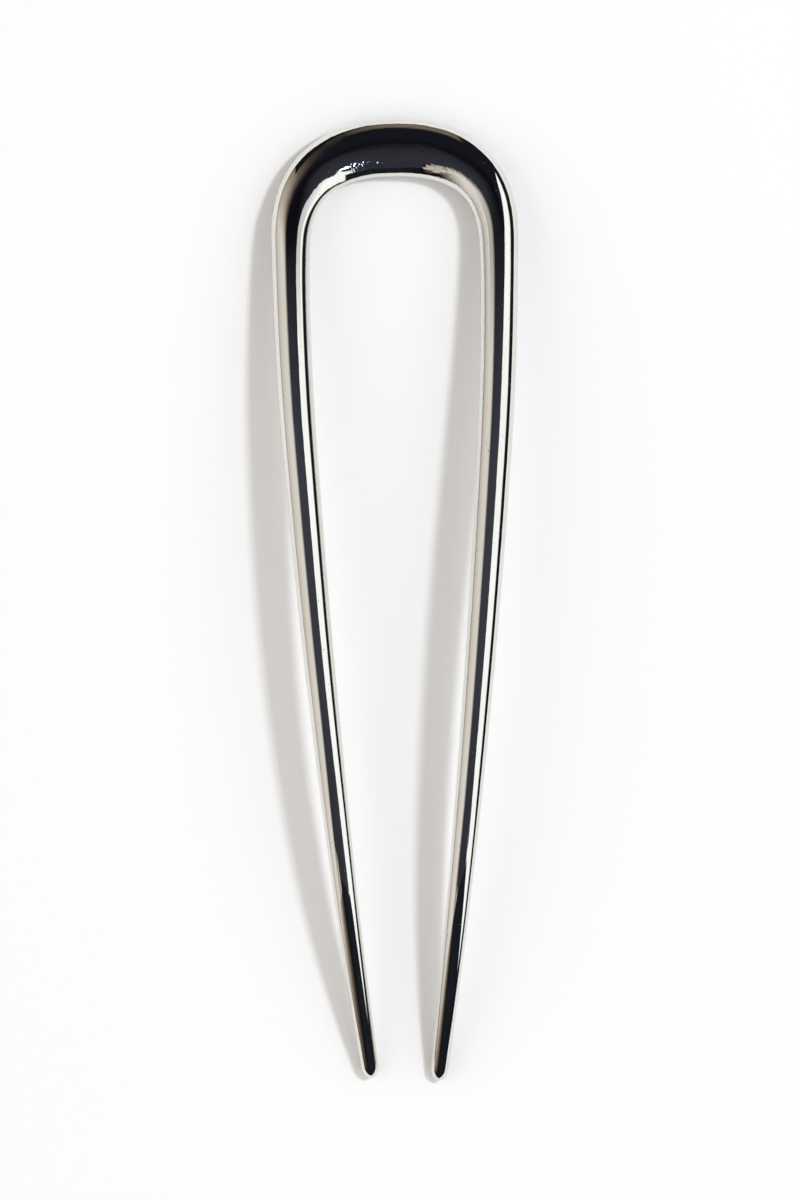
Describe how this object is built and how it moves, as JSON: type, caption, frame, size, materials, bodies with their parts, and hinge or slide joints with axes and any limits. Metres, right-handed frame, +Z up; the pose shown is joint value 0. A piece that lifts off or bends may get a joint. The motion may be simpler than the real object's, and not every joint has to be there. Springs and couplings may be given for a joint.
{
  "type": "hairpin",
  "caption": "U-shaped metal hairpin: a broad, squarish crown and slim legs that taper and lean together to rounded tips, gently arched and mirror polished.",
  "frame": {"origin": "Middle of the box that the pin fills, on the surface that it lies on.", "axes": "+Y runs from the tips to the crown, X runs across the two legs, and +Z is up, out of the arched side."},
  "size_m": [0.0336, 0.13, 0.0106],
  "materials": {
    "polished_metal": "mirror-polished warm silver plating with faint polishing marks and a few pinpoint pits"
  },
  "bodies": {
    "root": {"pin": "polished_metal"}
  },
  "joints": []
}
